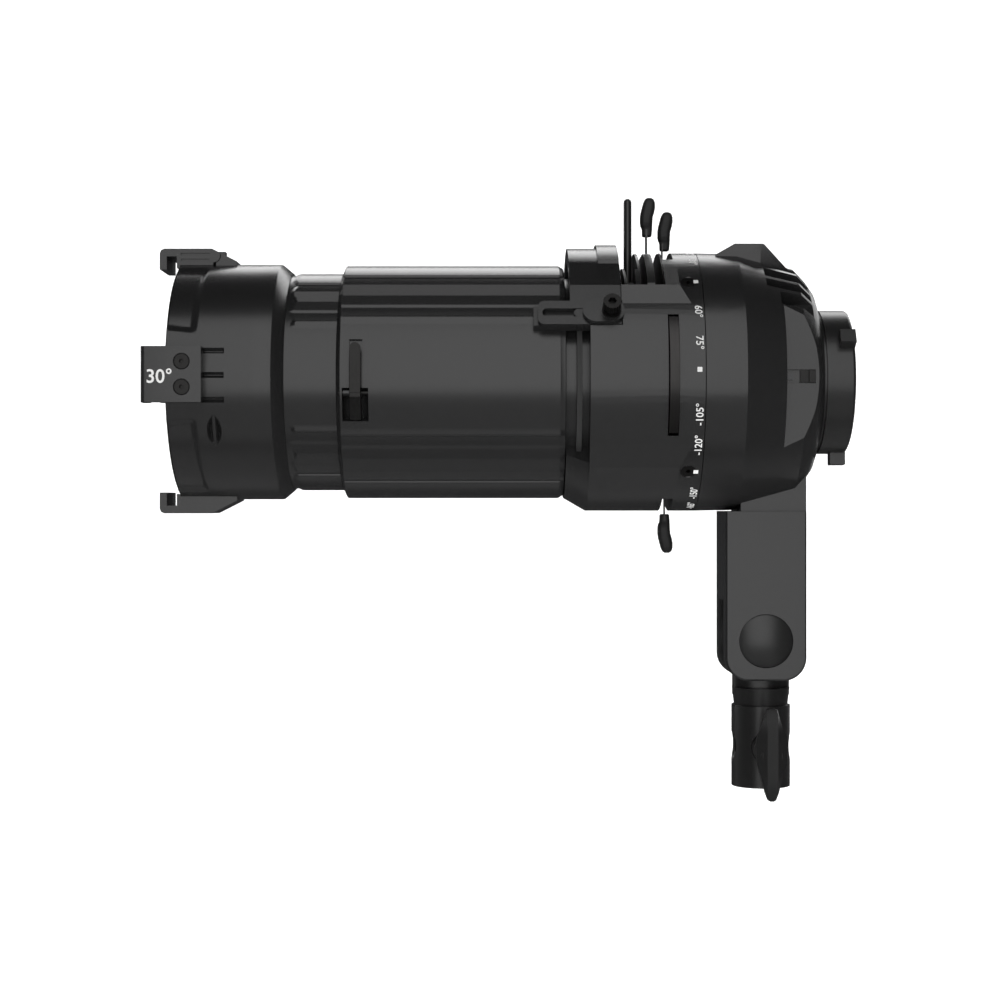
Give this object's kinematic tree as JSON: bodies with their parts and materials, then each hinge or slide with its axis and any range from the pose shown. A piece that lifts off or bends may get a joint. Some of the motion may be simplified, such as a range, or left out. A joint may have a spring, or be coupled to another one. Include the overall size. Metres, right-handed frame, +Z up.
{
  "type": "ellipsoidal spotlight",
  "caption": "Ellipsoidal profile spotlight optic on a tilting stand bracket, with rotating shutter gate, iris, sliding focus barrel and a bayonet ring for a lamp.",
  "frame": {"origin": "centre of the stand socket's mouth", "axes": "+Z up the socket, +X towards the lamp's bayonet ring, so the beam leaves along -X; -Y is the near side with the focus lock"},
  "size_m": [0.3292, 0.1307, 0.2863],
  "materials": {
    "casting_black": "satin black powder coat on die-cast aluminium",
    "anodised_black": "black anodised, fine turned finish",
    "blackened_steel": "black oxide",
    "spring_steel": "bright spring steel",
    "blade_steel": "dark stainless sheet",
    "knob_plastic": "fine-grained black nylon",
    "bearing_nylon": "smooth black nylon",
    "stop_rubber": "matt black rubber",
    "lens_glass": "polished optical glass, faint green-blue coating"
  },
  "bodies": {
    "stand": {"stand_receiver": "anodised_black"},
    "clamp_screw": {"clamp_screw": "blackened_steel", "clamp_pad": "bearing_nylon"},
    "t_handle": {"t_handle": "knob_plastic"},
    "bracket": {"bracket_arm": "casting_black", "bracket_saddle": "casting_black", "saddle_screws": "blackened_steel", "tilt_bolt": "blackened_steel", "tilt_dish": "anodised_black", "tilt_washers": "bearing_nylon", "tilt_nut": "blackened_steel", "rear_housing": "casting_black", "mount_ring": "anodised_black", "mount_ring_screws": "blackened_steel", "lock_spring": "spring_steel", "friction_ring": "bearing_nylon", "condenser_cell": "anodised_black", "cell_retainers": "anodised_black", "condenser_lens_front": "lens_glass", "condenser_lens_rear": "lens_glass"},
    "tilt_lever": {"tilt_lever": "knob_plastic"},
    "lock_tab": {"lock_tab": "blackened_steel"},
    "gate": {"gate_body": "casting_black", "gate_screws": "blackened_steel", "gate_retainer": "anodised_black", "gate_aperture": "blackened_steel", "shutter_guides": "blackened_steel", "stop_ring": "stop_rubber", "gate_transition": "casting_black", "focus_carriage": "casting_black", "iris_housing": "anodised_black", "iris_blades": "blackened_steel"},
    "iris": {"iris_lever": "anodised_black"},
    "gobo": {"gobo_holder": "anodised_black", "gobo_knob": "knob_plastic"},
    "shutter_top": {"shutter_blade_top": "blade_steel", "shutter_knob_top": "knob_plastic"},
    "shutter_bottom": {"shutter_blade_bottom": "blade_steel", "shutter_knob_bottom": "knob_plastic"},
    "shutter_near": {"shutter_near": "blade_steel"},
    "shutter_far": {"shutter_far": "blade_steel"},
    "barrel": {"barrel": "casting_black", "focus_tongue": "casting_black", "hinge_pins": "blackened_steel", "latch_spring": "spring_steel", "lens_tube": "casting_black", "front_hood": "casting_black", "claw_bottom": "casting_black", "claw_near": "casting_black", "claw_far": "casting_black", "claw_screws": "blackened_steel", "claw_hinge": "casting_black", "lens_spacer": "anodised_black", "lens_retainers": "anodised_black", "lens_front": "lens_glass", "lens_rear": "lens_glass"},
    "focus_shoe": {"focus_shoe": "casting_black"},
    "focus_lock": {"focus_lock_screw": "blackened_steel"},
    "lens_latch": {"lens_latch": "blackened_steel"},
    "claw_top": {"claw_top": "casting_black"}
  },
  "joints": [
    {"name": "tilt", "type": "hinge", "parent": "stand", "child": "bracket", "pos_m": [0, 0, 0.0709], "axis": [0, 1, 0], "range_deg": [-90, 90]},
    {"name": "clamp_advance", "type": "slide", "parent": "stand", "child": "clamp_screw", "axis": [0, 1, 0], "range_m": [0, 0.00375]},
    {"name": "handle_turn", "type": "hinge", "parent": "clamp_screw", "child": "t_handle", "pos_m": [0, -0.0377, 0.0195], "axis": [0, 1, 0], "range_deg": [0, 1080.2]},
    {"name": "tilt_lever_turn", "type": "hinge", "parent": "bracket", "child": "tilt_lever", "pos_m": [0, 0, 0.0709], "axis": [0, 1, 0], "range_deg": [-80, 0]},
    {"name": "lock_tab_slide", "type": "slide", "parent": "bracket", "child": "lock_tab", "axis": [-1, 0, 0], "range_m": [0, 0.003], "stiffness_N_per_m": 300, "springref_m": -0.003},
    {"name": "gate_rotation", "type": "hinge", "parent": "bracket", "child": "gate", "pos_m": [-0.0332, 0, 0.1948], "axis": [1, 0, 0], "continuous": true},
    {"name": "iris_turn", "type": "hinge", "parent": "gate", "child": "iris", "pos_m": [-0.0645, 0, 0.1948], "axis": [1, 0, 0], "range_deg": [-30, 30]},
    {"name": "gobo_slide", "type": "slide", "parent": "gate", "child": "gobo", "axis": [0, 0, 1], "range_m": [0, 0.097]},
    {"name": "shutter_top_slide", "type": "slide", "parent": "gate", "child": "shutter_top", "axis": [0, 0, 1], "range_m": [0, 0.03]},
    {"name": "shutter_bottom_slide", "type": "slide", "parent": "gate", "child": "shutter_bottom", "axis": [0, 0, -1], "range_m": [0, 0.03]},
    {"name": "shutter_near_slide", "type": "slide", "parent": "gate", "child": "shutter_near", "axis": [0, -1, 0], "range_m": [0, 0.03]},
    {"name": "shutter_far_slide", "type": "slide", "parent": "gate", "child": "shutter_far", "axis": [0, 1, 0], "range_m": [0, 0.03]},
    {"name": "focus_slide", "type": "slide", "parent": "gate", "child": "barrel", "axis": [-1, 0, 0], "range_m": [0, 0.014]},
    {"name": "focus_lock_lift", "type": "slide", "parent": "barrel", "child": "focus_shoe", "axis": [0, -0.887, 0.4617], "range_m": [0, 0.00035]},
    {"name": "focus_lock_turn", "type": "hinge", "parent": "focus_shoe", "child": "focus_lock", "pos_m": [-0.0755, -0.05854, 0.22528], "axis": [0, -0.887, 0.4617], "range_deg": [0, 180.1]},
    {"name": "lens_latch_rock", "type": "hinge", "parent": "barrel", "child": "lens_latch", "pos_m": [-0.1922, -0.0535, 0.1868], "axis": [1, 0, 0], "range_deg": [-6, 0], "stiffness_Nm_per_rad": 0.03, "springref_deg": 17.19},
    {"name": "claw_top_flip", "type": "hinge", "parent": "barrel", "child": "claw_top", "pos_m": [-0.2634, 0, 0.2548], "axis": [0, 1, 0], "range_deg": [0, 70], "stiffness_Nm_per_rad": 0.05, "springref_deg": -28.65}
  ],
  "couplings": [
    {"joint": "handle_turn", "follows": "clamp_advance", "rad_per_m": 5026.5},
    {"joint": "focus_lock_turn", "follows": "focus_lock_lift", "rad_per_m": 8976}
  ]
}
